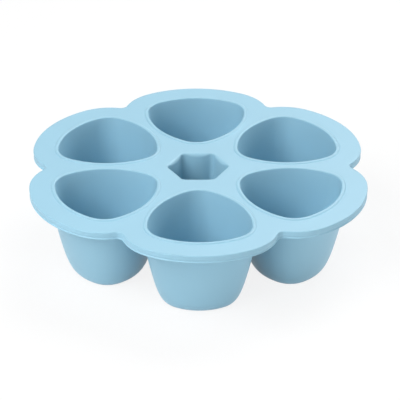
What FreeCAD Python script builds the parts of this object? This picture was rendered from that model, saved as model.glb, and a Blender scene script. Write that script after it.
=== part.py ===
"""Freezer tray for baby food: one soft silicone moulding, written out as its named regions.

Six cups hang from a flower-shaped deck, and a star-shaped well goes down through the middle of it.
Each cup is a rounded triangle with one corner towards the tray's centre. Its floor has a round thumb
pad, which is pressed up from below to push a frozen portion out.

Units are millimetres. +Z is up, Z = 0 is the surface that the tray stands on, and the Z axis is the
tray's centre line. The front cup lies towards -Y.
"""

import FreeCAD
import Part

import math
import os

# ---- Driving dimensions ----

# Where the cups lie. The angle of each cup round the tray is an equal share of the full circle.
CUP_NAMES = ["front", "front_right", "back_right", "back", "back_left", "front_left"]
FRONT_HEADING = -90.0
CUP_SIDES = 3

# The deck, from the surface that the tray stands on to the deck's upper face.
tray_height = 51.4
deck_thickness = 4.8
rim_width = 15.3
notch_radius = 4.0
deck_edge_radius = 0.5

# The mouth of a cup, measured from the cup's axis: to the middle of a side, and to the tip of a corner.
mouth_side_reach = 27.6
mouth_corner_reach = 32.4
mouth_corner_radius = 15.0

# The strip of deck between two neighbouring mouths.
mouth_gap = 7.8

# The bead round a mouth, which stands on the deck.
lip_width = 1.7
lip_height = 0.6
lip_slope = 0.5

# A cup's outer face. At the deck's upper face it is this far outside the mouth, at a side and at a
# corner. The rest are mean reaches: at the waist, where the wall turns under, and where the flat base
# begins. The waist is a depth below the deck's upper face.
wall_top_side = 5.5
wall_top_corner = 4.1
wall_waist_reach = 27.5
wall_waist_depth = 36.6
wall_turn_reach = 24.6
base_reach = 18.6

# How much further a corner of the base reaches than a side, and the radius of the outer face's corners
# as a share of its reach.
base_corner_excess = 2.4
corner_roundness = 0.64

# The base of a cup lies this much nearer to the tray's centre than its mouth does.
cup_lean = 0.6

# Thickness of a cup's wall from its waist down, and of its floor.
wall_thickness = 2.6
floor_thickness = 2.6

# The heel of a cup is the part of it that turns under, from the base up to this height.
heel_height = 12.0

# The thumb pad, and the space that its solid keeps from the heel's solid.
pad_radius = 12.0
pad_clearance = 0.3

# The star-shaped well, measured from the tray's centre: to the middle of a side and to a point.
well_side_reach = 15.1
well_point_reach = 18.1
well_point_radius = 3.0
well_wall = 2.6
well_depth = 30.0
well_draft = 2.0

# The soft edge at the well's mouth: how far it opens out at a side and at a point, and how deep it is.
well_flare_side = 2.4
well_flare_point = 0.8
well_flare_depth = 2.0

# ---- Derived dimensions ----

deck_underside = tray_height - deck_thickness
sector = 360.0 / len(CUP_NAMES)
well_floor = tray_height - well_depth
mouth_mean_reach = (mouth_side_reach + mouth_corner_reach) / 2
mouth_corner_excess = mouth_corner_reach - mouth_side_reach
mouth_roundness = mouth_corner_radius / mouth_mean_reach
wall_top_reach = mouth_mean_reach + (wall_top_side + wall_top_corner) / 2
wall_top_corner_excess = mouth_corner_excess + wall_top_corner - wall_top_side
# A mouth's side faces the next cup's, so the cups lie on the circle that leaves the gap between them.
cup_circle_radius = (mouth_side_reach + mouth_gap / 2) / math.sin(math.radians(sector / 2))

# Construction only: the tools that cut run past the faces they cut by this much.
OVERRUN = 5.0
PROFILE_STEPS = 6
LOFT_DEGREE = 3


# ---- Outlines ----


def polar(centre, heading, reach):
    """The point at a heading in degrees and a distance from centre, both in the XY plane."""
    angle = math.radians(heading)
    return (centre[0] + reach * math.cos(angle), centre[1] + reach * math.sin(angle))


def placed(point, centre, heading):
    """A point of an outline's own frame, turned to a heading in degrees and moved to centre."""
    along = polar(centre, heading, point[0])
    return polar(along, heading + 90, point[1])


def mirrored(point):
    """The same point on the other side of an outline's own X axis."""
    return (point[0], -point[1])


def arc(points, z):
    """An arc's edge through three points, at height z."""
    return Part.Arc(*[FreeCAD.Vector(x, y, z) for x, y in points]).toShape()


def side_and_corner(corners, side_reach, corner_reach, corner_radius):
    """How a side's arc meets a corner's arc: (corner's centre, heading from there to where they meet).

    The outline's own X axis runs through the middle of the side. The side's arc is tangent to the
    corner's arc, and bows out or in as its reach asks.
    """
    along, across = polar((0, 0), 180 / corners, corner_reach - corner_radius)
    excess = side_reach - along
    side_radius = (excess**2 + across**2 - corner_radius**2) / (2 * (excess - corner_radius))
    bow = math.copysign(1, side_radius)
    side_centre = side_reach - side_radius
    return (along, across), math.degrees(math.atan2(bow * across, bow * (along - side_centre)))


def rounded_polygon(centre, heading, corners, side_reach, corner_reach, corner_radius, z):
    """The closed wire of a polygon with round corners and bowed sides, one side's middle at heading."""
    corner, meeting_heading = side_and_corner(corners, side_reach, corner_reach, corner_radius)
    meeting = polar(corner, meeting_heading, corner_radius)
    tip = polar((0, 0), 180 / corners, corner_reach)
    edges = []
    for index in range(corners):
        side = heading + index * 360 / corners
        next_side = side + 360 / corners
        start = placed(mirrored(meeting), centre, side)
        middle = placed((side_reach, 0), centre, side)
        end = placed(meeting, centre, side)
        edges.append(arc((start, middle, end), z))
        edges.append(arc((end, placed(tip, centre, side), placed(mirrored(meeting), centre, next_side)), z))
    return Part.Wire(edges)


def mouth_outline(growth, z):
    """The mouth of the front cup, grown outwards all round."""
    return rounded_polygon(
        polar((0, 0), FRONT_HEADING, cup_circle_radius),
        FRONT_HEADING,
        CUP_SIDES,
        mouth_side_reach + growth,
        mouth_corner_reach + growth,
        mouth_corner_radius + growth,
        z,
    )


def deck_outline(z):
    """The deck's edge: it follows each mouth at the rim's width, with a small fillet in each notch."""
    side_reach = mouth_side_reach + rim_width
    corner_radius = mouth_corner_radius + rim_width
    corner, meeting_heading = side_and_corner(
        CUP_SIDES, side_reach, mouth_corner_reach + rim_width, corner_radius
    )
    corner = (cup_circle_radius + corner[0], corner[1])
    meeting = polar(corner, meeting_heading, corner_radius)
    # The notch's fillet touches the corner arcs of two lobes, so its centre lies halfway between them.
    half_sector = math.radians(sector / 2)
    along = corner[0] * math.cos(half_sector) + corner[1] * math.sin(half_sector)
    across = corner[0] * math.sin(half_sector) - corner[1] * math.cos(half_sector)
    notch_reach = along + math.sqrt((corner_radius + notch_radius) ** 2 - across**2)
    notch = polar((0, 0), sector / 2, notch_reach)
    notch_heading = math.degrees(math.atan2(notch[1] - corner[1], notch[0] - corner[0]))
    notch_start = polar(corner, notch_heading, corner_radius)
    notch_bottom = polar((0, 0), sector / 2, notch_reach - notch_radius)
    corner_middle = polar(corner, (meeting_heading + notch_heading) / 2, corner_radius)
    half_lobe = [(cup_circle_radius + side_reach, 0), meeting, corner_middle, notch_start, notch_bottom]
    edges = []
    for index in range(len(CUP_NAMES)):
        heading = FRONT_HEADING + index * sector
        tip, meet, corner_mid, start, bottom = [placed(point, (0, 0), heading) for point in half_lobe]
        meet_before, mid_before, start_before = [
            placed(mirrored(point), (0, 0), heading) for point in (meeting, corner_middle, notch_start)
        ]
        next_start = placed(mirrored(notch_start), (0, 0), heading + sector)
        edges.append(arc((start_before, mid_before, meet_before), z))
        edges.append(arc((meet_before, tip, meet), z))
        edges.append(arc((meet, corner_mid, start), z))
        edges.append(arc((start, bottom, next_start), z))
    return Part.Wire(edges)


def star_outline(side_reach, point_reach, point_radius, z):
    """The well's star: a side faces each cup and bows towards the centre, and a point lies between two."""
    corners = len(CUP_NAMES)
    return rounded_polygon((0, 0), FRONT_HEADING, corners, side_reach, point_reach, point_radius, z)


# ---- Solids ----


def loft(wires, ruled=False):
    """A closed solid through the wires, from the first to the last."""
    solid = True
    closed = False
    return Part.makeLoft(wires, solid, ruled, closed, LOFT_DEGREE)


def slab(low, high):
    """A square block round the whole tray, between two heights."""
    half_side = cup_circle_radius + mouth_corner_reach + rim_width + OVERRUN
    corner = FreeCAD.Vector(-half_side, -half_side, low)
    return Part.makeBox(2 * half_side, 2 * half_side, high - low, corner)


def sector_prism():
    """The share of the space round the tray that belongs to the front cup."""
    far = 2 * (cup_circle_radius + mouth_corner_reach + rim_width)
    sides = [polar((0, 0), FRONT_HEADING + turn, far) for turn in (-sector / 2, sector / 2)]
    points = [FreeCAD.Vector(x, y, 0) for x, y in [(0, 0)] + sides]
    triangle = Part.Face(Part.makePolygon(points + points[:1]))
    return triangle.extrude(FreeCAD.Vector(0, 0, tray_height))


def bezier(poles, share):
    """The point of a cubic Bezier curve with four poles, at a share of its length's parameter."""
    rest = 1 - share
    weights = (rest**3, 3 * rest**2 * share, 3 * rest * share**2, share**3)
    return tuple(sum(weight * pole[axis] for weight, pole in zip(weights, poles)) for axis in (0, 1))


def cup_body(poles, excesses, roundnesses):
    """A solid of rounded triangles, stacked down a profile from the deck's upper face.

    poles are (mean reach, depth below the deck's upper face). excesses and roundnesses are each a pair,
    for the profile's top and for its foot.
    """
    foot_depth = poles[-1][1]
    wires = []
    for step in range(PROFILE_STEPS + 1):
        reach, depth = bezier(poles, step / PROFILE_STEPS)
        share = depth / foot_depth
        excess = excesses[0] + (excesses[1] - excesses[0]) * share
        roundness = roundnesses[0] + (roundnesses[1] - roundnesses[0]) * share
        centre = polar((0, 0), FRONT_HEADING, cup_circle_radius - cup_lean * depth / tray_height)
        side_reach = reach - excess / 2
        corner_reach = reach + excess / 2
        height = tray_height - depth
        wires.append(
            rounded_polygon(
                centre, FRONT_HEADING, CUP_SIDES, side_reach, corner_reach, roundness * reach, height
            )
        )
    return loft(wires)


def outer_body():
    """The outside of the front cup, from the deck's upper face to the base, with no hollow."""
    poles = [
        (wall_top_reach, 0),
        (wall_waist_reach, wall_waist_depth),
        (wall_turn_reach, tray_height),
        (base_reach, tray_height),
    ]
    excesses = (wall_top_corner_excess, base_corner_excess)
    return cup_body(poles, excesses, (corner_roundness, corner_roundness))


def cavity():
    """The hollow of the front cup, from its floor to the deck's upper face."""
    cavity_depth = tray_height - floor_thickness
    poles = [
        (mouth_mean_reach, 0),
        (wall_waist_reach - wall_thickness, wall_waist_depth),
        (wall_turn_reach - wall_thickness, cavity_depth),
        (base_reach - wall_thickness / 2, cavity_depth),
    ]
    excesses = (mouth_corner_excess, base_corner_excess)
    return cup_body(poles, excesses, (mouth_roundness, corner_roundness))


def base_centre():
    """The centre of the front cup's flat base."""
    return polar((0, 0), FRONT_HEADING, cup_circle_radius - cup_lean)


def upright_cylinder(centre, radius, low, high):
    """A cylinder with its axis along Z."""
    return Part.makeCylinder(radius, high - low, FreeCAD.Vector(centre[0], centre[1], low))


def cup_wall(hollow):
    """The wall of the front cup, from its heel up to the deck. It meets its neighbours halfway."""
    shell = outer_body().common(slab(heel_height, deck_underside)).cut(hollow)
    return shell.common(sector_prism())


def cup_heel(hollow):
    """The foot of the front cup, which turns under to the flat ring that the tray stands on."""
    shell = outer_body().common(slab(0, heel_height)).cut(hollow)
    pad_hole = upright_cylinder(base_centre(), pad_radius + pad_clearance, -OVERRUN, heel_height)
    return shell.cut(pad_hole)


def thumb_pad():
    """The middle of the front cup's floor."""
    return upright_cylinder(base_centre(), pad_radius, 0, floor_thickness)


def mouth_lip():
    """The low bead round the front cup's mouth. Its outside slopes in towards its top."""
    foot = mouth_outline(lip_width, tray_height)
    crown = mouth_outline(lip_width - lip_slope, tray_height + lip_height)
    mouth = Part.Face(mouth_outline(0, tray_height)).extrude(FreeCAD.Vector(0, 0, lip_height))
    return loft([foot, crown], ruled=True).cut(mouth)


def copies_round_tray(shape):
    """The shape, which belongs to the front cup, copied to every cup in turn."""
    centre = FreeCAD.Vector(0, 0, 0)
    up = FreeCAD.Vector(0, 0, 1)
    return [shape.rotated(centre, up, index * sector) for index in range(len(CUP_NAMES))]


def well_star(growth, height):
    """The well's outline at a height, grown outwards. It narrows downwards by the draft."""
    narrowing = (tray_height - height) * math.tan(math.radians(well_draft))
    reach_change = growth - narrowing
    return star_outline(
        well_side_reach + reach_change, well_point_reach + reach_change, well_point_radius + growth, height
    )


def well_hollow():
    """The well's hollow, right through the deck and its wall, with the flare at its mouth."""
    mouth = star_outline(
        well_side_reach + well_flare_side,
        well_point_reach + well_flare_point,
        well_point_radius + well_flare_point,
        tray_height,
    )
    flare_foot = well_star(0, tray_height - well_flare_depth)
    bottom = well_star(0, well_floor - OVERRUN)
    return loft([mouth, flare_foot, bottom], ruled=True)


def centre_well(hollow):
    """The star-shaped tube below the deck."""
    body = loft([well_star(well_wall, deck_underside), well_star(well_wall, well_floor)], ruled=True)
    return body.cut(hollow)


def deck(hollows):
    """The flower-shaped plate, with its edge rounded above and below and every opening cut."""
    plate = Part.Face(deck_outline(deck_underside)).extrude(FreeCAD.Vector(0, 0, deck_thickness))
    level_edges = [edge for edge in plate.Edges if edge.BoundBox.ZLength < deck_edge_radius]
    plate = plate.makeFillet(deck_edge_radius, level_edges)
    for hollow in hollows:
        plate = plate.cut(hollow)
    return plate


def build():
    """Every node's name and its shape."""
    hollow = cavity()
    cup_parts = {
        "cup_wall": cup_wall(hollow),
        "cup_heel": cup_heel(hollow),
        "thumb_pad": thumb_pad(),
        "mouth_lip": mouth_lip(),
    }
    nodes = {}
    for part_name, shape in cup_parts.items():
        for cup_name, copy in zip(CUP_NAMES, copies_round_tray(shape)):
            nodes[cup_name + "_" + part_name] = copy
    well = well_hollow()
    nodes["centre_well"] = centre_well(well)
    nodes["deck"] = deck(copies_round_tray(hollow) + [well])
    return nodes


os.makedirs("parts", exist_ok=True)
for node, shape in build().items():
    shape.exportStep(os.path.join("parts", node + ".step"))
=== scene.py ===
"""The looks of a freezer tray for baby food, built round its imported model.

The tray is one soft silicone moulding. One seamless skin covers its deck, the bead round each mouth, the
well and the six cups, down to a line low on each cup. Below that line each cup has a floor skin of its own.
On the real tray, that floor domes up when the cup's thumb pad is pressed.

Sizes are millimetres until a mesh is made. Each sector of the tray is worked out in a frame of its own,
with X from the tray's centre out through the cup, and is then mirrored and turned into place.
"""

import logging
import math
from dataclasses import dataclass, field
from enum import Enum
from typing import Any, Callable, Iterable, Optional

import bmesh
import bpy
import numpy as np
from bpy.types import Material, Node, NodeSocket, NodeTree, Object
from mathutils import Matrix, Vector, kdtree

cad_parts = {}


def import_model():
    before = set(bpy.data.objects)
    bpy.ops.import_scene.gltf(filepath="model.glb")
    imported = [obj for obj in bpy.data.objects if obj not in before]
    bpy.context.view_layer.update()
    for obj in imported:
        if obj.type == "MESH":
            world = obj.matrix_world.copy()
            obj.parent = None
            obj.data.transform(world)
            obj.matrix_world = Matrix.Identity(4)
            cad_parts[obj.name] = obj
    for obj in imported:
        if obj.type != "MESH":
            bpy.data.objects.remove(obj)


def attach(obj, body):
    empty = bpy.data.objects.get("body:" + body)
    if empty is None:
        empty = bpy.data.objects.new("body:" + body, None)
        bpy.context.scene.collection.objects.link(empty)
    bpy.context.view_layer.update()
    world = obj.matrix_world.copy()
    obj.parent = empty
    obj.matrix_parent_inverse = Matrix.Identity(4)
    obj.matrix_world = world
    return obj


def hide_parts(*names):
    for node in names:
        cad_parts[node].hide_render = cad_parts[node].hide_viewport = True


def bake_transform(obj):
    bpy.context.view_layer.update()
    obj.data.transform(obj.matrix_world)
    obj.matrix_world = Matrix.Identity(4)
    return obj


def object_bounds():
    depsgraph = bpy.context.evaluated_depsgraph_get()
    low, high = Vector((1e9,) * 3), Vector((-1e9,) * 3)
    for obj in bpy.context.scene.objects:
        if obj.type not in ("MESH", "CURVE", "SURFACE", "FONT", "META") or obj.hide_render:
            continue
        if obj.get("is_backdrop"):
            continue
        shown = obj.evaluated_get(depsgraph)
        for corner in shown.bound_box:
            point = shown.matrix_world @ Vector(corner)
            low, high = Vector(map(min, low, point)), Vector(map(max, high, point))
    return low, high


LOG = logging.getLogger("freezer_tray")
Array = np.ndarray
Pairs = tuple[tuple[float, float], ...]
MM = 0.001
CUP_COUNT = 6
SECTOR = 2 * math.pi / CUP_COUNT
HALF_SECTOR = SECTOR / 2
# Vertices this near are welded.
WELD_MM = 0.0003
# How far off its height a vertex may lie and still be on the joint's ring.
RING_MM = 0.001
# How far below the tray the floor lies, so that their faces don't coincide.
FLOOR_GAP_MM = 0.05
# Halvings that leave less of a range than a number can tell.
HALVINGS = 60


class Cup(Enum):
    """A cup's name, with its place in the order round the tray from the front one."""

    FRONT = 0
    FRONT_RIGHT = 1
    BACK_RIGHT = 2
    BACK = 3
    BACK_LEFT = 4
    FRONT_LEFT = 5

    @property
    def label(self) -> str:
        """The cup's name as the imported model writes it."""
        return self.name.lower()

    @property
    def heading(self) -> float:
        """The angle from +X to the line from the tray's centre out through the cup, in radians."""
        return -math.pi / 2 + self.value * SECTOR


# ---- Small helpers ----


def linear_colour(code: str) -> tuple[float, float, float, float]:
    """Turns an sRGB hex colour into the linear one that a shader takes.

    Args:
        code: Six hex digits, with or without a leading #.

    Returns:
        Linear red, green and blue, and an alpha of 1.
    """
    digits = code.lstrip("#")
    values = [int(digits[place : place + 2], 16) / 255 for place in (0, 2, 4)]
    linear = [v / 12.92 if v <= 0.04045 else ((v + 0.055) / 1.055) ** 2.4 for v in values]
    return (linear[0], linear[1], linear[2], 1.0)


def add_node(
    tree: NodeTree,
    kind: str,
    settings: Optional[dict[Any, Any]] = None,
    links: Optional[dict[Any, NodeSocket]] = None,
) -> Node:
    """Adds a node to a tree, with its settings and what feeds its inputs.

    Args:
        tree: The tree to add to.
        kind: The node's type name, without ShaderNode before it.
        settings: An input's name or number, or a property's name, with its value.
        links: An input's name or number, with the output that feeds it.

    Returns:
        The new node.
    """
    node = tree.nodes.new("ShaderNode" + kind)
    for name, value in (settings or {}).items():
        if isinstance(name, int) or name in node.inputs:
            node.inputs[name].default_value = value
        else:
            setattr(node, name, value)
    for name, output in (links or {}).items():
        tree.links.new(output, node.inputs[name])
    return node


def empty_tree(owner: Any) -> NodeTree:
    """Turns on the nodes of a material or a world, and clears them.

    Args:
        owner: The material or the world.

    Returns:
        Its node tree.
    """
    owner.use_nodes = True
    owner.node_tree.nodes.clear()
    return owner.node_tree


def seen_by_eye(tree: NodeTree) -> NodeSocket:
    """Adds nodes that tell the rays of camera, mirror and glass from those that carry light.

    Args:
        tree: The tree to add to.

    Returns:
        An output that is 1 for a ray of camera, gloss or transmission, and 0 for any other.
    """
    path = add_node(tree, "LightPath")
    total = path.outputs["Is Camera Ray"]
    for name in ("Is Glossy Ray", "Is Transmission Ray"):
        links = {0: total, 1: path.outputs[name]}
        total = add_node(tree, "Math", {"operation": "MAXIMUM"}, links).outputs["Value"]
    return total


def add_object(name: str, data: Any) -> Object:
    """Adds an object to the scene.

    Args:
        name: The object's name.
        data: Its mesh, light or camera.

    Returns:
        The object.
    """
    obj = bpy.data.objects.new(name, data)
    bpy.context.scene.collection.objects.link(obj)
    return obj


def between(start: Any, end: Any, shares: Any) -> Array:
    """Numbers or points on a straight run from start to end, one for each share of the way."""
    start, end, shares = np.asarray(start), np.asarray(end), np.asarray(shares)
    return start + (end - start) * shares.reshape(shares.shape + (1,) * end.ndim)


def smooth_share(shares: Array) -> Array:
    """Shares held between 0 and 1, and eased towards both."""
    held = np.clip(shares, 0, 1)
    return held * held * (3 - 2 * held)


def quarter_round(steps: int, radius: float = 1.0) -> list[tuple[float, float]]:
    """How far off the vertical and how far down the points of a quarter circle are, from its top."""
    turns = np.linspace(0, math.pi / 2, steps + 1)
    return [(radius * (1 - math.sin(turn)), radius * (1 - math.cos(turn))) for turn in turns]


def last_hold(low: Any, high: Any, holds: Callable[[Array], Array]) -> Array:
    """Finds where a test stops holding, by halving the range again and again.

    Args:
        low: Where the test holds, as one number or as many.
        high: Where it doesn't.
        holds: The test.

    Returns:
        The far end of what is left of each range.
    """
    for _ in range(HALVINGS):
        middle = (np.asarray(low) + high) / 2
        held = holds(middle)
        low, high = np.where(held, middle, low), np.where(held, high, middle)
    return high


def even_steps(count: int) -> Array:
    """Evenly spaced shares from 0 to 1, one more than there are steps."""
    return np.linspace(0.0, 1.0, count + 1)


def crowded_steps(count: int, at_start: bool, at_end: bool) -> Array:
    """Shares from 0 to 1 that lie closer together at one end or both.

    Args:
        count: How many steps there are.
        at_start: Whether they crowd at 0.
        at_end: Whether they crowd at 1.

    Returns:
        count + 1 shares.
    """
    first = 0.0 if at_start else math.pi / 2
    last = math.pi if at_end else math.pi / 2
    fallen = np.cos(first) - np.cos(np.linspace(first, last, count + 1))
    return fallen / fallen[-1]


def at_height(flat: Array, height: float) -> Array:
    """Points given by X and Y, set at a height."""
    return np.column_stack([flat, np.full(len(flat), height)])


def polar(reach: Any, angles: Any, axis: Any, height: Any) -> Array:
    """Makes points from their reach and angle about an upright axis.

    Args:
        reach: How far from the axis.
        angles: Angles from the outward direction, in radians.
        axis: The axis's X. Its Y is 0.
        height: The height above what the tray stands on.

    Returns:
        Points in the sector's frame.
    """
    parts = (axis + reach * np.cos(angles), reach * np.sin(angles), height)
    return np.stack(np.broadcast_arrays(*parts), axis=-1)


def plane_side(points: Array) -> Array:
    """How far points of a sector lie past the plane between it and the next one."""
    return points[..., 1] * math.cos(HALF_SECTOR) - points[..., 0] * math.sin(HALF_SECTOR)


# ---- Outlines and profiles ----


@dataclass(frozen=True)
class RoundedPolygon:
    """A polygon with round corners and bowed sides. Its fields may be arrays, for many at once."""

    corners: int
    side_reach: Any
    corner_reach: Any
    corner_radius: Any

    def grown(self, growth: Any) -> "RoundedPolygon":
        """The same polygon, moved outwards all round by growth."""
        sizes = (self.side_reach, self.corner_reach, self.corner_radius)
        return RoundedPolygon(self.corners, *(size + growth for size in sizes))

    @property
    def corner_centre(self) -> tuple[Any, Any]:
        """The centre of the corner's arc that is next to the side across the X axis."""
        distance = self.corner_reach - self.corner_radius
        half = math.pi / self.corners
        return distance * math.cos(half), distance * math.sin(half)

    @property
    def side_radius(self) -> Any:
        """The radius of a side's arc, negative where the side bows in."""
        along, across = self.corner_centre
        excess = self.side_reach - along
        return (excess**2 + across**2 - self.corner_radius**2) / (2 * (excess - self.corner_radius))

    @property
    def meeting_heading(self) -> Any:
        """The direction from the corner's centre to where the side's arc meets the corner's."""
        along, across = self.corner_centre
        bow = np.sign(self.side_radius)
        side_centre = self.side_reach - self.side_radius
        return np.arctan2(bow * across, bow * (along - side_centre))

    def reach(self, angles: Array) -> Array:
        """The distance from the centre to the outline.

        Args:
            angles: Angles from the middle of a side, in radians.

        Returns:
            The distance at each angle.
        """
        half = math.pi / self.corners
        folded = np.abs(np.mod(angles + half, 2 * half) - half)
        along, across = self.corner_centre
        side_radius = self.side_radius
        side_centre = self.side_reach - side_radius
        meeting = self.meeting_heading
        meeting_angle = np.arctan2(
            across + self.corner_radius * np.sin(meeting), along + self.corner_radius * np.cos(meeting)
        )
        under_root = side_radius**2 - (side_centre * np.sin(folded)) ** 2
        side = side_centre * np.cos(folded) + np.sign(side_radius) * np.sqrt(np.maximum(under_root, 0))
        nearest = along * np.cos(folded) + across * np.sin(folded)
        under_root = self.corner_radius**2 - along**2 - across**2 + nearest**2
        corner = nearest + np.sqrt(np.maximum(under_root, 0))
        return np.where(folded <= meeting_angle, side, corner)


@dataclass(frozen=True)
class WallProfile:
    """One face of a cup's wall, from the deck's upper face down to where it runs out flat.

    The profile is a cubic Bezier curve whose poles are (mean reach, depth below the deck's upper face).
    """

    cup: "CupShape"
    poles: Pairs
    top_excess: float
    top_roundness: float

    def axis(self, depth: Any) -> Any:
        """The X of the cup's leaning axis at a depth below the deck's upper face."""
        return self.cup.distance - self.cup.lean * depth / self.cup.tray_height

    def curve(self, shares: Array) -> tuple[Array, Array]:
        """The profile's mean reach and depth.

        Args:
            shares: How far along the curve, from 0 at the top to 1 at the foot.

        Returns:
            The mean reach and the depth at each share.
        """
        rest = 1 - shares
        weights = (rest**3, 3 * rest**2 * shares, 3 * rest * shares**2, shares**3)
        reach = sum(weight * pole[0] for weight, pole in zip(weights, self.poles))
        depth = sum(weight * pole[1] for weight, pole in zip(weights, self.poles))
        return reach, depth

    def points(self, angles: Array, shares: Array) -> Array:
        """Points of the face.

        Args:
            angles: Angles about the cup's axis from the outward direction, in radians.
            shares: How far down the profile, of a shape that goes with angles.

        Returns:
            Points in the sector's frame.
        """
        reach, depth = self.curve(shares)
        fallen = depth / self.poles[-1][1]
        excess = between(self.top_excess, self.cup.base_excess, fallen)
        roundness = between(self.top_roundness, self.cup.roundness, fallen)
        outline = RoundedPolygon(3, reach - excess / 2, reach + excess / 2, roundness * reach)
        return polar(outline.reach(angles), angles, self.axis(depth), self.cup.tray_height - depth)

    def share_at_height(self, height: float) -> float:
        """How far down the profile, from 0 to 1, the face reaches a height."""
        drop = self.cup.tray_height - height
        return float(last_hold(0.0, 1.0, lambda share: self.curve(share)[1] < drop))


@dataclass(frozen=True)
class Arc:
    """Part of the deck's outline. turn is -1 where the deck lies outside the arc, as in a notch."""

    centre: tuple[float, float]
    radius: float
    start: float
    end: float
    turn: int = 1

    def points(self, shares: Array, inset: float) -> Array:
        """Points along the arc, moved into the deck by inset.

        Args:
            shares: How far along the arc, from 0 to 1.
            inset: The distance into the deck.

        Returns:
            X and Y of each point.
        """
        heading = between(self.start, self.end, shares)
        radius = self.radius - self.turn * inset
        return self.centre + radius * np.stack([np.cos(heading), np.sin(heading)], axis=-1)


# ---- Finishes ----


@dataclass(frozen=True)
class SiliconeFinish:
    """Platinum-cured silicone, pigmented through and moulded in a spark-eroded steel tool.

    To the eye it is soft and matt: broad, gentle shading, hardly any gloss, and a grain so fine that it
    only takes the edge off the highlights.
    """

    name: str = "moulded_silicone"
    colour: str = "#92BED2"
    roughness: float = 0.42
    roughness_drift: float = 0.03
    ior: float = 1.41
    specular: float = 0.5
    cloud_mm: float = 38.0
    cloud_depth: float = 0.015
    cloud_span: tuple[float, float] = (0.3, 0.7)
    grain_mm: float = 0.5
    grain_height_mm: float = 0.006

    def noise(self, tree: NodeTree, place: NodeSocket, size_mm: float, **settings: float) -> Node:
        """Adds a noise whose features are of a size."""
        settings["Scale"] = 1 / (size_mm * MM)
        return add_node(tree, "TexNoise", settings, {"Vector": place})

    def material(self) -> Material:
        """Builds the material.

        Returns:
            A material whose patterns are laid in the object's own millimetres.
        """
        material = bpy.data.materials.new(self.name)
        tree = empty_tree(material)
        place = add_node(tree, "TexCoord").outputs["Object"]
        # Pigment is stirred in by roller, so its depth of colour drifts a little over some centimetres.
        cloud = self.noise(tree, place, self.cloud_mm, Detail=2.0, Roughness=0.4)
        ramp = add_node(tree, "ValToRGB", None, {"Fac": cloud.outputs["Fac"]})
        drifts = (-self.cloud_depth, self.cloud_depth)
        for stop, position, drift in zip(ramp.color_ramp.elements, self.cloud_span, drifts):
            stop.position = position
            stop.color = [value * (1 + drift) for value in linear_colour(self.colour)[:3]] + [1.0]
        # Spark erosion leaves a grain of a few hundredths of a millimetre. It is drawn coarser here, so
        # that it still breaks up the highlights at the render's size.
        grain = self.noise(tree, place, self.grain_mm, Detail=3.0, Roughness=0.6)
        bump = add_node(
            tree,
            "Bump",
            {"Strength": 1.0, "Distance": self.grain_height_mm * MM},
            {"Height": grain.outputs["Fac"]},
        )
        low, high = (self.roughness + side * self.roughness_drift for side in (-1, 1))
        worn = add_node(
            tree, "MapRange", {"To Min": low, "To Max": high}, {"Value": cloud.outputs["Fac"]}
        )
        shader = add_node(
            tree,
            "BsdfPrincipled",
            {"IOR": self.ior, "Specular IOR Level": self.specular},
            {
                "Base Color": ramp.outputs["Color"],
                "Roughness": worn.outputs["Result"],
                "Normal": bump.outputs["Normal"],
            },
        )
        add_node(tree, "OutputMaterial", None, {"Surface": shader.outputs["BSDF"]})
        return material


@dataclass(frozen=True)
class FloorFinish:
    """Matt white seamless paper, lit so that it reads as the white of the backdrop.

    To a camera it is mostly plain white, so that only the object's soft shadow is left on it.
    """

    name: str = "white_seamless_paper"
    colour: str = "#F4F4F4"
    paper_white: float = 1.0
    washed_out: float = 0.85

    def material(self) -> Material:
        """Builds the material.

        Returns:
            A material that camera, mirror and glass rays see partly washed out to white.
        """
        material = bpy.data.materials.new(self.name)
        tree = empty_tree(material)
        paper = add_node(tree, "BsdfDiffuse", {"Color": linear_colour(self.colour)})
        white = add_node(tree, "Emission", {"Strength": self.paper_white})
        share = add_node(
            tree, "Math", {"operation": "MULTIPLY", 1: self.washed_out}, {0: seen_by_eye(tree)}
        )
        mix = add_node(
            tree,
            "MixShader",
            None,
            {"Fac": share.outputs["Value"], 1: paper.outputs["BSDF"], 2: white.outputs["Emission"]},
        )
        add_node(tree, "OutputMaterial", None, {"Surface": mix.outputs["Shader"]})
        return material


# ---- Mesh making ----


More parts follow.
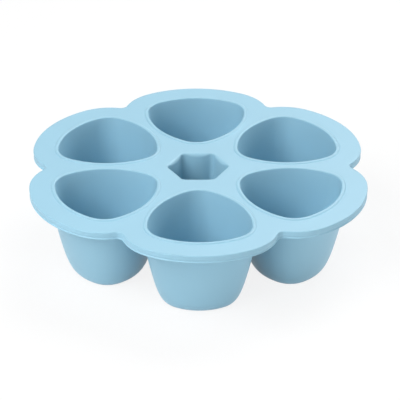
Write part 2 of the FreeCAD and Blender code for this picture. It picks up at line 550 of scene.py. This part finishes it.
class SkinMesh:
    """Gathers grids of points in a sector's frame and joins them into one closed mesh."""

    def __init__(self) -> None:
        """Starts with nothing gathered."""
        self.points: list[Array] = []
        self.quads: list[Array] = []
        self.count = 0

    def add_grid(self, grid: Array) -> None:
        """Adds a grid of points and the quads between them.

        Args:
            grid: Points, of shape (rows, columns, 3).
        """
        rows, columns = grid.shape[:2]
        index = self.count + np.arange(rows * columns).reshape(rows, columns)
        corners = (index[:-1, :-1], index[1:, :-1], index[1:, 1:], index[:-1, 1:])
        self.points.append(grid.reshape(-1, 3))
        self.quads.append(np.stack([corner.ravel() for corner in corners], axis=-1))
        self.count += rows * columns

    def add_half(self, grid: Array) -> None:
        """Adds a grid of one half of a sector, and its mirror image in the other half."""
        self.add_grid(grid)
        self.add_grid(grid * np.array([1.0, -1.0, 1.0]))

    def add_run(self, start: Array, end: Array, shares: Any) -> None:
        """Adds both halves of the straight run from a row of points, or one, to another row."""
        self.add_half(np.swapaxes(between(start, end, shares), 0, 1))

    def build(
        self,
        name: str,
        headings: Iterable[float],
        seam_height: float,
        easer: Optional["CreaseEaser"] = None,
    ) -> Object:
        """Turns what was gathered to each heading, welds it and makes an object of it.

        Args:
            name: The object's name.
            headings: The headings of the sectors, in radians.
            seam_height: The height of the flat ring that closes the mesh inside the wall.
            easer: What rounds the creases, if anything does.

        Returns:
            The new object, in metres.
        """
        points = np.concatenate(self.points)
        quads = np.concatenate(self.quads)
        mesh = bmesh.new()
        for heading in headings:
            turned = points @ np.array(Matrix.Rotation(heading, 3, "Z")).T
            verts = [mesh.verts.new(point) for point in turned]
            for quad in quads:
                mesh.faces.new([verts[corner] for corner in quad])
        bmesh.ops.remove_doubles(mesh, verts=mesh.verts[:], dist=WELD_MM)
        bmesh.ops.recalc_face_normals(mesh, faces=mesh.faces[:])
        if easer:
            mesh.verts.index_update()
            easer.run(mesh)
        for face in mesh.faces:
            face.smooth = True
        for edge in mesh.edges:
            flat = [
                all(abs(vert.co.z - seam_height) < RING_MM for vert in face.verts)
                for face in edge.link_faces
            ]
            edge.smooth = not (any(flat) and not all(flat))
        bmesh.ops.scale(mesh, vec=Vector((MM, MM, MM)), verts=mesh.verts[:])
        data = bpy.data.meshes.new(name)
        mesh.to_mesh(data)
        mesh.free()
        return add_object(name, data)


@dataclass(frozen=True)
class CreaseEaser:
    """Rounds the hollow creases of a mesh, by letting the surface beside them flow as a film would.

    Sizes are millimetres. Only hollow creases below a height are rounded.
    """

    below: float
    # How far above that height a crease may still lie.
    slack: float = 0.1
    sharp: float = math.radians(15.0)
    reach: float = 4.5
    flow: float = 0.3
    steps: int = 3
    # How far apart the points lie along a crease that distances are taken from.
    mark_gap: float = 0.5
    # What a triangle's doubled area counts for at least.
    least_area: float = 1e-9
    # When the flow's equations count as solved, and how many rounds that may take.
    solved: float = 1e-10
    rounds: int = 400

    def run(self, mesh: bmesh.types.BMesh) -> None:
        """Rounds the creases of a mesh that is in millimetres.

        Args:
            mesh: The mesh, with its normals outwards.
        """
        nearness = self.nearness(mesh)
        free = nearness > 0
        corners, shares = self.triangles(mesh, free)
        # Only the vertices of these triangles take part.
        chosen, triangles = np.unique(corners, return_inverse=True)
        triangles = triangles.reshape(corners.shape)
        places = np.array([mesh.verts[int(vert)].co for vert in chosen])
        flowed = places
        for _ in range(self.steps):
            flowed = self.flowed(flowed, triangles, shares, free[chosen])
        eased = places + (flowed - places) * nearness[chosen, None]
        for vert, place in zip(chosen, eased):
            mesh.verts[int(vert)].co = place

    def nearness(self, mesh: bmesh.types.BMesh) -> Array:
        """How near each vertex is to a crease: 1 beside one, falling to 0 at the reach.

        Args:
            mesh: The mesh.

        Returns:
            One number for each vertex.
        """
        mesh.verts.ensure_lookup_table()
        marks = []
        for edge in mesh.edges:
            if len(edge.link_faces) != 2 or edge.is_convex or edge.calc_face_angle() <= self.sharp:
                continue
            if max(vert.co.z for vert in edge.verts) <= self.below + self.slack:
                start, end = (vert.co for vert in edge.verts)
                pieces = max(1, math.ceil((end - start).length / self.mark_gap))
                marks += [start.lerp(end, piece / pieces) for piece in range(pieces + 1)]
        tree = kdtree.KDTree(len(marks))
        for index, mark in enumerate(marks):
            tree.insert(mark, index)
        tree.balance()
        distance = np.array([tree.find(vert.co)[2] for vert in mesh.verts])
        return smooth_share(2 * (1 - distance / self.reach))

    def triangles(self, mesh: bmesh.types.BMesh, free: Array) -> tuple[Array, Array]:
        """Cuts the faces that touch a free vertex into triangles, four-sided ones both ways.

        Args:
            mesh: The mesh.
            free: Whether each vertex may move.

        Returns:
            The triangles' corners, and what share of its area each one counts for.
        """
        corners, shares = [], []
        for face in mesh.faces:
            ring = [vert.index for vert in face.verts]
            if not free[ring].any():
                continue
            if len(ring) == 3:
                corners.append(ring)
                shares.append(1.0)
                continue
            for skip in range(4):
                corners.append([ring[(skip + turn) % 4] for turn in (1, 2, 3)])
                shares.append(0.5)
        return np.array(corners), np.array(shares)

    def flowed(self, places: Array, triangles: Array, shares: Array, free: Array) -> Array:
        """Lets the free vertices flow for one step. The step is implicit, so thin faces do no harm.

        Args:
            places: Where the vertices are.
            triangles: The triangles round the free vertices.
            shares: What share of its area each triangle counts for.
            free: Whether each vertex may move.

        Returns:
            Where the vertices are after the step.
        """
        count = len(places)
        mass = np.zeros(count)
        rows, columns, pulls = [], [], []
        for turn in range(3):
            apex, left, right = (triangles[:, (turn + step) % 3] for step in range(3))
            one, two = places[left] - places[apex], places[right] - places[apex]
            doubled = np.maximum(np.linalg.norm(np.cross(one, two), axis=1), self.least_area)
            mass += np.bincount(apex, doubled * shares / 6, count)
            pull = shares * np.einsum("ij,ij->i", one, two) / doubled / 2
            rows += [left, right]
            columns += [right, left]
            pulls += [pull, pull]
        row, column, pull = (np.concatenate(part) for part in (rows, columns, pulls))
        pull = pull * self.flow
        whole = np.bincount(row, pull, count)
        diagonal = np.where(free, mass + whole, 1.0)[:, None]

        def applied(field: Array) -> Array:
            """The flow's matrix times a field that is zero where nothing may move."""
            drawn = [np.bincount(row, pull * field[column, axis], count) for axis in range(3)]
            return np.where(free[:, None], diagonal * field - np.stack(drawn, axis=1), 0.0)

        # Conjugate gradients for the change from where the vertices are now.
        residual = np.where(free[:, None], mass[:, None] * places, 0.0) - applied(places)
        change = np.zeros_like(places)
        heading = residual / diagonal
        strength = (residual * heading).sum()
        goal = strength * self.solved
        for _ in range(self.rounds):
            if strength <= goal:
                break
            moved = applied(heading)
            length = strength / (heading * moved).sum()
            change += length * heading
            residual -= length * moved
            scaled = residual / diagonal
            stronger = (residual * scaled).sum()
            heading = scaled + stronger / strength * heading
            strength = stronger
        return places + change


# ---- The tray ----


@dataclass(frozen=True)
class CupShape:
    """The sizes of a cup and of the bead round its mouth."""

    distance: float = 63.0
    tray_height: float = 51.4
    mouth: RoundedPolygon = RoundedPolygon(3, 27.6, 32.4, 15.0)
    top_reach: float = 34.8
    waist_reach: float = 27.5
    waist_depth: float = 36.6
    turn_reach: float = 24.6
    base_reach: float = 18.6
    top_excess: float = 3.4
    base_excess: float = 2.4
    roundness: float = 0.64
    lean: float = 0.6
    wall: float = 2.6
    floor: float = 2.6
    # The bead's section: how far out from the mouth's edge, and how high above the deck. A shallow
    # groove runs round it.
    bead: Pairs = (
        (0.0, 0.0), (0.04, 0.16), (0.12, 0.3), (0.25, 0.42), (0.43, 0.51), (0.66, 0.56),
        (0.95, 0.58), (1.35, 0.58), (1.65, 0.56), (1.9, 0.48), (2.1, 0.33), (2.28, 0.15),
        (2.48, 0.02), (2.72, -0.04), (3.0, -0.03), (3.3, 0.0),
    )

    @property
    def outside(self) -> WallProfile:
        """The wall's outer face."""
        poles = (
            (self.top_reach, 0.0),
            (self.waist_reach, self.waist_depth),
            (self.turn_reach, self.tray_height),
            (self.base_reach, self.tray_height),
        )
        return WallProfile(self, poles, self.top_excess, self.roundness)

    @property
    def inside(self) -> WallProfile:
        """The wall's inner face."""
        depth = self.tray_height - self.floor
        mean = (self.mouth.side_reach + self.mouth.corner_reach) / 2
        poles = (
            (mean, 0.0),
            (self.waist_reach - self.wall, self.waist_depth),
            (self.turn_reach - self.wall, depth),
            (self.base_reach - self.wall / 2, depth),
        )
        excess = self.mouth.corner_reach - self.mouth.side_reach
        return WallProfile(self, poles, excess, self.mouth.corner_radius / mean)

    def mouth_points(self, angles: Array, growth: float, rise: float) -> Array:
        """Points round the mouth, growth outside its edge and rise above the deck."""
        reach = self.mouth.grown(growth).reach(angles)
        return polar(reach, angles, self.distance, self.tray_height + rise)


@dataclass(frozen=True)
class DeckShape:
    """The sizes of the deck and of its edge."""

    thickness: float = 4.8
    rim_width: float = 15.3
    notch_radius: float = 4.0
    edge_radius: float = 0.5
    # The edge's section below its rounded top: how far inside the outline, and how far below the deck's
    # upper face. It has the mould's parting line halfway and a narrow flange at its foot.
    edge: Pairs = (
        (0.03, 1.0), (0.12, 1.6), (0.22, 2.2), (0.16, 2.36), (0.16, 2.5), (0.3, 2.64),
        (0.38, 3.1), (0.45, 3.6), (0.44, 3.78), (0.36, 3.94), (0.22, 4.08), (0.13, 4.22),
        (0.1, 4.38), (0.13, 4.54), (0.24, 4.69), (0.42, 4.78), (0.7, 4.8),
    )
    edge_steps: int = 5

    def section(self) -> list[tuple[float, float]]:
        """The whole of the edge's section, from the deck's upper face down to its lower face."""
        return quarter_round(self.edge_steps, self.edge_radius) + list(self.edge)

    def arcs(self, cup: CupShape) -> tuple[Arc, Arc, Arc]:
        """The arcs of half a lobe: its side, its corner and half of the notch.

        Args:
            cup: The cup in the lobe.

        Returns:
            The three arcs, in order from the lobe's outermost point.
        """
        lobe = cup.mouth.grown(self.rim_width)
        side_centre = (cup.distance + lobe.side_reach - lobe.side_radius, 0.0)
        meeting = float(lobe.meeting_heading)
        along, across = lobe.corner_centre
        corner = (cup.distance + along, across)
        # The side bows out, so it meets the corner's arc in one direction from the centres of both.
        cosine, sine = math.cos(HALF_SECTOR), math.sin(HALF_SECTOR)
        near = corner[0] * cosine + corner[1] * sine
        off = corner[0] * sine - corner[1] * cosine
        reach = near + math.sqrt((lobe.corner_radius + self.notch_radius) ** 2 - off**2)
        notch = (reach * cosine, reach * sine)
        notch_heading = math.atan2(notch[1] - corner[1], notch[0] - corner[0])
        return (
            Arc(side_centre, float(lobe.side_radius), 0.0, meeting),
            Arc(corner, float(lobe.corner_radius), meeting, notch_heading),
            Arc(notch, self.notch_radius, notch_heading - math.pi, HALF_SECTOR - math.pi, -1),
        )


@dataclass(frozen=True)
class WellShape:
    """The sizes of the star-shaped well."""

    side_reach: float = 15.1
    point_reach: float = 18.1
    point_radius: float = 3.0
    wall: float = 2.6
    depth: float = 30.0
    draft: float = math.radians(2.0)
    flare_side: float = 2.4
    flare_point: float = 0.8
    foot_radius: float = 1.0
    mouth_steps: int = 8
    foot_steps: int = 4
    # Where the straight stretches inside and outside are cut, as shares of their depth.
    inner_rows: tuple[float, ...] = (0.04, 0.1, 0.2, 0.35, 0.5, 0.65, 0.8, 0.92, 0.97)
    outer_rows: tuple[float, ...] = (0.03, 0.1, 0.3, 0.5, 0.7, 0.85, 0.93, 0.96, 0.98, 1.0)

    def star(self, growth: float = 0.0) -> RoundedPolygon:
        """The well's outline at the deck's upper face, moved outwards by growth."""
        return RoundedPolygon(CUP_COUNT, self.side_reach, self.point_reach, self.point_radius).grown(growth)

    def mouth(self) -> RoundedPolygon:
        """Where the deck's flat upper face gives way to the well's rounded edge."""
        return RoundedPolygon(
            CUP_COUNT,
            self.side_reach + self.flare_side,
            self.point_reach + self.flare_point,
            self.point_radius + self.flare_point,
        )

    def section(self, angles: Array, deck_thickness: float) -> list[tuple[Array, Array]]:
        """The well's section from its mouth, down inside, round its foot and up outside.

        Args:
            angles: Angles about the tray's centre from the middle of a side.
            deck_thickness: How far below the deck's upper face the outside of the well ends.

        Returns:
            Rows of reaches, each with its depths below the deck's upper face.
        """
        inner = self.star().reach(angles)
        outer = self.star(self.wall).reach(angles)
        rounding = self.mouth().reach(angles) - inner
        bottom = np.full_like(inner, self.depth)
        start = self.depth - self.foot_radius
        rounded = quarter_round(self.foot_steps, self.foot_radius)
        foot = [(across, bottom - rise) for rise, across in rounded]
        rows = [(inner + rounding * out, rounding * down) for out, down in quarter_round(self.mouth_steps)]
        rows += [(inner, rounding + (start - rounding) * share) for share in self.inner_rows]
        rows += [(inner + across, depth) for across, depth in foot]
        rows += [(outer - across, depth) for across, depth in reversed(foot)]
        climb = start - deck_thickness
        rows += [(outer, np.full_like(inner, start - climb * share)) for share in self.outer_rows]
        return [(reach - depth * math.tan(self.draft), depth) for reach, depth in rows]


@dataclass
class TraySkin:
    """The seamless skin of the deck, the beads, the well and the cups' walls."""

    cup: CupShape = field(default_factory=CupShape)
    deck: DeckShape = field(default_factory=DeckShape)
    well: WellShape = field(default_factory=WellShape)
    joint_height: float = 12.0
    # How many meridians each stretch of half a sector has, from the lobe's outermost point inwards.
    lobe_steps: tuple[int, int, int] = (13, 16, 6)
    outer_gap_steps: int = 8
    web_steps: int = 22
    inner_gap_steps: int = 12
    well_steps: int = 12
    well_lean: float = 1.5
    wall_rows: int = 19
    # Where the runs between two outlines are cut, as shares of their length: the deck's upper face, the
    # start of any run that begins at a crease, the middle of its lower face, and the outer wall's start.
    deck_rows: tuple[float, ...] = (0.0, 0.04, 0.12, 0.3, 0.55, 0.8, 0.93, 1.0)
    crease_rows: tuple[float, ...] = (0.0, 0.008, 0.018, 0.032, 0.05, 0.075, 0.11)
    under_rows: tuple[float, ...] = (0.25, 0.5, 0.75)
    wall_start: float = 0.16
    # How far to either side of its nearest point a cup's wall is searched for the web's ends, in radians.
    web_search: float = 1.0

    @property
    def underside(self) -> float:
        """The height of the deck's lower face."""
        return self.cup.tray_height - self.deck.thickness

    def web_angles(self) -> tuple[float, float]:
        """The two angles about the cup's axis between which its wall runs into the next cup's.

        Returns:
            The outer and the inner angle, in radians.
        """
        outside = self.cup.outside
        top = outside.share_at_height(self.underside)
        facing = math.pi / 2 + HALF_SECTOR

        def past(angle: Array) -> Array:
            """Whether the wall lies past the plane between sectors at an angle."""
            return plane_side(outside.points(angle, top)) > 0

        ends = (facing - self.web_search, facing + self.web_search)
        return tuple(float(last_hold(facing, end, past)) for end in ends)

    def web_shares(self, angles: Array) -> Array:
        """How far down the outer profile each meridian leaves the plane between sectors.

        Args:
            angles: Angles between the two of web_angles.

        Returns:
            The share at each angle.
        """
        outside = self.cup.outside
        low, high = (
            np.full_like(angles, outside.share_at_height(height))
            for height in (self.underside, self.joint_height)
        )
        return last_hold(low, high, lambda shares: plane_side(outside.points(angles, shares)) > 0)

    def deck_outline(self, inset: float) -> Array:
        """Points along half a lobe's edge.

        Args:
            inset: The distance into the deck from its outline.

        Returns:
            X and Y of each point, from the lobe's outermost point to the notch's bottom.
        """
        stretches = []
        for arc, steps in zip(self.deck.arcs(self.cup), self.lobe_steps):
            stretches.append(arc.points(even_steps(steps), inset)[1 if stretches else 0 :])
        return np.concatenate(stretches)

    def well_rows(self) -> list[Array]:
        """Rows of points along half a side of the well, from its mouth round to the deck's lower face."""
        angles = HALF_SECTOR * (1 - even_steps(self.well_steps) ** self.well_lean)
        section = self.well.section(angles, self.deck.thickness)
        return [polar(reach, angles, 0.0, self.cup.tray_height - depth) for reach, depth in section]

    @property
    def starts(self) -> tuple[int, ...]:
        """The meridians at which the notch's inside, the web, the deck past it and the well start."""
        steps = (sum(self.lobe_steps), self.outer_gap_steps, self.web_steps, self.inner_gap_steps)
        return tuple(int(total) for total in np.cumsum(steps))

    @property
    def gap_shares(self) -> tuple[Array, Array, Array]:
        """How the points lie along the notch's inside, the web and the deck towards the well.

        They crowd where the web starts and ends, because three surfaces meet there.
        """
        return (
            crowded_steps(self.outer_gap_steps, False, True),
            crowded_steps(self.web_steps, True, True),
            crowded_steps(self.inner_gap_steps, True, False),
        )

    def top_rim(self) -> Array:
        """Where the deck's flat upper face ends, all along half a sector."""
        height = self.cup.tray_height
        edge = at_height(self.deck_outline(self.deck.edge_radius), height)
        well = self.well_rows()[0]
        stops = [edge[-1], *self.web_ends(height), well[0]]
        runs = [between(*ends, shares)[1:] for *ends, shares in zip(stops, stops[1:], self.gap_shares)]
        return np.concatenate([edge, *runs, well[1:]])

    def web_ends(self, height: float) -> list[Array]:
        """Where the web between two cups starts and ends under the deck, moved to a height.

        Args:
            height: The height above what the tray stands on.

        Returns:
            The end by the notch and the end by the well, in the sector's frame.
        """
        outside = self.cup.outside
        top = outside.share_at_height(self.underside)
        reaches = [np.hypot(*outside.points(angle, top)[:2]) for angle in self.web_angles()]
        return [polar(reach, HALF_SECTOR, 0.0, height) for reach in reaches]

    def meridians(self) -> Array:
        """The angle about the cup's axis of each point of the top rim."""
        rim = self.top_rim()
        angles = np.arctan2(rim[:, 1], rim[:, 0] - self.cup.distance)
        # The web's own meridians start and end exactly where the two walls part.
        starts = self.starts
        stops = [angles[starts[0]], *self.web_angles(), angles[starts[-1]]]
        for index, shares in enumerate(self.gap_shares):
            stretch = slice(starts[index], starts[index + 1] + 1)
            angles[stretch] = between(stops[index], stops[index + 1], shares)
        return angles

    def mesh(self) -> Object:
        """Builds the skin.

        Returns:
            One closed object for all six sectors.
        """
        skin = SkinMesh()
        cup, deck = self.cup, self.deck
        angles = self.meridians()
        rim = self.top_rim()
        _, web_start, web_end, _ = self.starts

        # Inside of the cup, from the joint line up to the mouth, and over the bead to the deck.
        inside = cup.inside
        shares = inside.share_at_height(self.joint_height) * (1 - even_steps(self.wall_rows))
        skin.add_half(inside.points(angles[:, None], shares[None, :]))
        bead = [cup.mouth_points(angles, growth, rise) for growth, rise in cup.bead]
        skin.add_half(np.stack(bead, axis=1))
        skin.add_run(bead[-1], rim, self.deck_rows)

        # The deck's edge, and the well inside and out.
        edge_rows = [
            at_height(self.deck_outline(inset), cup.tray_height - drop) for inset, drop in deck.section()
        ]
        skin.add_half(np.stack(edge_rows, axis=1))
        well_rows = self.well_rows()
        skin.add_half(np.stack(well_rows, axis=1))

        # Where the outer wall starts: under the deck, or on the plane that it shares with the next cup.
        outside = cup.outside
        starts = np.full_like(angles, outside.share_at_height(self.underside))
        web = slice(web_start + 1, web_end)
        starts[web] = self.web_shares(angles[web])
        top = outside.points(angles, starts)

        # The deck's lower face, on either side of the web.
        outer_end, inner_end = self.web_ends(self.underside)
        top[web_start], top[web_end] = outer_end, inner_end
        closing = 1 - np.array(self.crease_rows[::-1])
        spread = np.concatenate([self.crease_rows, self.under_rows, closing])
        outer_shares, _, inner_shares = self.gap_shares
        outer = between(edge_rows[-1][-1], outer_end, outer_shares)[1:]
        inner = between(inner_end, well_rows[-1][0], inner_shares)[:-1]
        skin.add_run(top[: web_start + 1], np.concatenate([edge_rows[-1], outer]), spread)
        skin.add_run(top[web_end:], np.concatenate([inner, well_rows[-1]]), spread)

        # The outer wall, down to the joint line, and the flat ring that closes the skin there.
        foot_share = outside.share_at_height(self.joint_height)
        rows = np.concatenate([self.crease_rows, np.linspace(self.wall_start, 1.0, self.wall_rows)])
        walls = starts[:, None] + (foot_share - starts)[:, None] * rows[None, :]
        grid = outside.points(angles[:, None], walls)
        grid[:, 0] = top
        skin.add_half(grid)
        inner_ring = inside.points(angles, inside.share_at_height(self.joint_height))
        skin.add_half(np.stack([grid[:, -1], inner_ring], axis=1))

        return skin.build(
            "tray_skin",
            [member.heading for member in Cup],
            self.joint_height,
            CreaseEaser(self.underside),
        )

    def dress(self, material: Material) -> None:
        """Builds the skin, gives it its material and sets it on the tray's body.

        Args:
            material: The silicone.
        """
        obj = self.mesh()
        obj.data.materials.append(material)
        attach(obj, "tray")
        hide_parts("deck", "centre_well")
        for member in Cup:
            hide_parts(f"{member.label}_cup_wall", f"{member.label}_mouth_lip")
        LOG.info("%s: %d faces", obj.name, len(obj.data.polygons))


@dataclass
class CupFloor:
    """The skin of one cup below the joint line. On the real tray its middle is soft and domes up with the
    thumb pad.
    """

    member: Cup
    tray: TraySkin
    heel_rows: int = 14
    floor_rows: int = 12
    # The pad's dome: all of the floor would move inside the first radius, and none of it outside the
    # second.
    dome_flat: float = 5.0
    dome_reach: float = 18.5

    def mesh(self) -> Object:
        """Builds the floor.

        Returns:
            One closed object, in place under its cup.
        """
        skin = SkinMesh()
        angles = self.tray.meridians()
        rings = []
        for profile in (self.tray.cup.inside, self.tray.cup.outside):
            start = profile.share_at_height(self.tray.joint_height)
            shares = start + (1 - start) * even_steps(self.heel_rows)
            heel = profile.points(angles[:, None], shares[None, :])
            skin.add_half(heel)
            depth = profile.poles[-1][1]
            middle = np.array([profile.axis(depth), 0.0, self.tray.cup.tray_height - depth])
            skin.add_run(middle, heel[:, -1], 1 - even_steps(self.floor_rows))
            rings.append(heel[:, 0])
        skin.add_half(np.stack(rings, axis=1))
        return skin.build(
            f"{self.member.label}_cup_floor", [self.member.heading], self.tray.joint_height
        )

    def soften(self, obj: Object) -> None:
        """Bakes the floor's placement into its mesh.

        Args:
            obj: The floor.
        """
        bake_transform(obj)

    def dress(self, material: Material) -> None:
        """Builds the floor, gives it its material and hides the imported heel and thumb pad.

        Args:
            material: The silicone.
        """
        obj = self.mesh()
        obj.data.materials.append(material)
        self.soften(obj)
        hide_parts(f"{self.member.label}_cup_heel", f"{self.member.label}_thumb_pad")
        LOG.info("%s: %d faces", obj.name, len(obj.data.polygons))


# ---- The studio ----


@dataclass(frozen=True)
class Lamp:
    """A square soft box that faces the tray, in degrees, metres and watts.

    Azimuth 0 is behind the camera, and 90 is to its right.
    """

    name: str
    azimuth: float
    elevation: float
    distance: float
    size: float
    power: float

    def place(self, target: Vector) -> None:
        """Sets the lamp up.

        Args:
            target: The point that it faces, in metres.
        """
        data = bpy.data.lights.new(self.name, "AREA")
        data.shape = "SQUARE"
        data.size = self.size
        data.energy = self.power
        lamp = add_object(self.name, data)
        turn, rise = math.radians(self.azimuth), math.radians(self.elevation)
        back = Vector((math.sin(turn) * math.cos(rise), -math.cos(turn) * math.cos(rise), math.sin(rise)))
        lamp.location = target + back * self.distance
        lamp.rotation_euler = back.to_track_quat("Z", "Y").to_euler()


@dataclass(frozen=True)
class Viewpoint:
    """The camera, in millimetres and radians: a long lens that looks down on the tray from the front."""

    aim: tuple[float, float, float] = (0.5, -42.26, 51.81)
    distance: float = 1207.6
    heading: float = 0.019
    elevation: float = 0.5108
    roll: float = 0.0043
    lens: float = 186.49
    sensor: float = 36.0
    farthest: float = 100000.0

    def place(self) -> None:
        """Sets the camera up and makes it the scene's own."""
        data = bpy.data.cameras.new("camera")
        data.lens = self.lens
        data.sensor_width = self.sensor
        data.clip_end = self.farthest * MM
        camera = add_object("camera", data)
        level = math.cos(self.elevation)
        look = Vector(
            (math.sin(self.heading) * level, math.cos(self.heading) * level, -math.sin(self.elevation))
        )
        camera.location = (Vector(self.aim) - look * self.distance) * MM
        upright = look.to_track_quat("-Z", "Y").to_matrix()
        camera.rotation_euler = (upright @ Matrix.Rotation(self.roll, 3, "Z")).to_euler()
        bpy.context.scene.camera = camera


@dataclass
class Studio:
    """White paper floor, soft boxes, an even white surround and the camera."""

    lamps: tuple[Lamp, ...] = (
        Lamp("key_soft_box", -60.0, 48.0, 1.2, 0.8, 10.6),
        Lamp("back_soft_box", 150.0, 50.0, 1.3, 0.9, 12.5),
        Lamp("low_side_box", 105.0, 14.0, 1.3, 0.55, 3.85),
        Lamp("front_box", -25.0, 38.0, 0.9, 0.5, 1.15),
        Lamp("front_left_card", -40.0, 18.0, 0.75, 0.4, 0.98),
        Lamp("front_right_card", 40.0, 18.0, 0.75, 0.4, 1.13),
    )
    surround: float = 0.01
    floor_side: float = 12.0
    viewpoint: Viewpoint = field(default_factory=Viewpoint)
    paper: FloorFinish = field(default_factory=FloorFinish)

    def floor(self, height: float) -> None:
        """Lays the floor.

        Args:
            height: Its height, in metres.
        """
        half = self.floor_side / 2
        data = bpy.data.meshes.new("floor")
        flat = ((-half, -half), (half, -half), (half, half), (-half, half))
        corners = [(along, across, height) for along, across in flat]
        data.from_pydata(corners, [], [(0, 1, 2, 3)])
        data.materials.append(self.paper.material())
        floor = add_object("floor", data)
        floor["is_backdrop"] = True

    def surroundings(self) -> None:
        """Makes the even surround, which the camera, mirrors and glass see as plain white."""
        world = bpy.data.worlds.new("surround")
        tree = empty_tree(world)
        light, white = (
            add_node(tree, "Background", {"Color": (1.0, 1.0, 1.0, 1.0), "Strength": strength})
            for strength in (self.surround, 1.0)
        )
        mix = add_node(
            tree,
            "MixShader",
            None,
            {"Fac": seen_by_eye(tree), 1: light.outputs["Background"], 2: white.outputs["Background"]},
        )
        add_node(tree, "OutputWorld", None, {"Surface": mix.outputs["Shader"]})
        bpy.context.scene.world = world

    def build(self, low: Vector, high: Vector) -> None:
        """Sets up everything round the tray.

        Args:
            low: The tray's lowest corner, in metres.
            high: The tray's highest corner.
        """
        self.floor(low.z - FLOOR_GAP_MM * MM)
        self.surroundings()
        middle = (low + high) / 2
        for lamp in self.lamps:
            lamp.place(middle)
        self.viewpoint.place()
        bpy.context.scene.view_settings.view_transform = "Standard"
        LOG.info("studio with %d lamps", len(self.lamps))


def main() -> None:
    """Loads the frame, dresses the tray and sets up the studio."""
    logging.basicConfig(level=logging.INFO, format="%(name)s: %(message)s")
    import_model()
    low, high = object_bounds()
    silicone = SiliconeFinish().material()
    tray = TraySkin()
    tray.dress(silicone)
    for member in Cup:
        CupFloor(member, tray).dress(silicone)
    Studio().build(low, high)


if __name__ == "__main__":
    main()
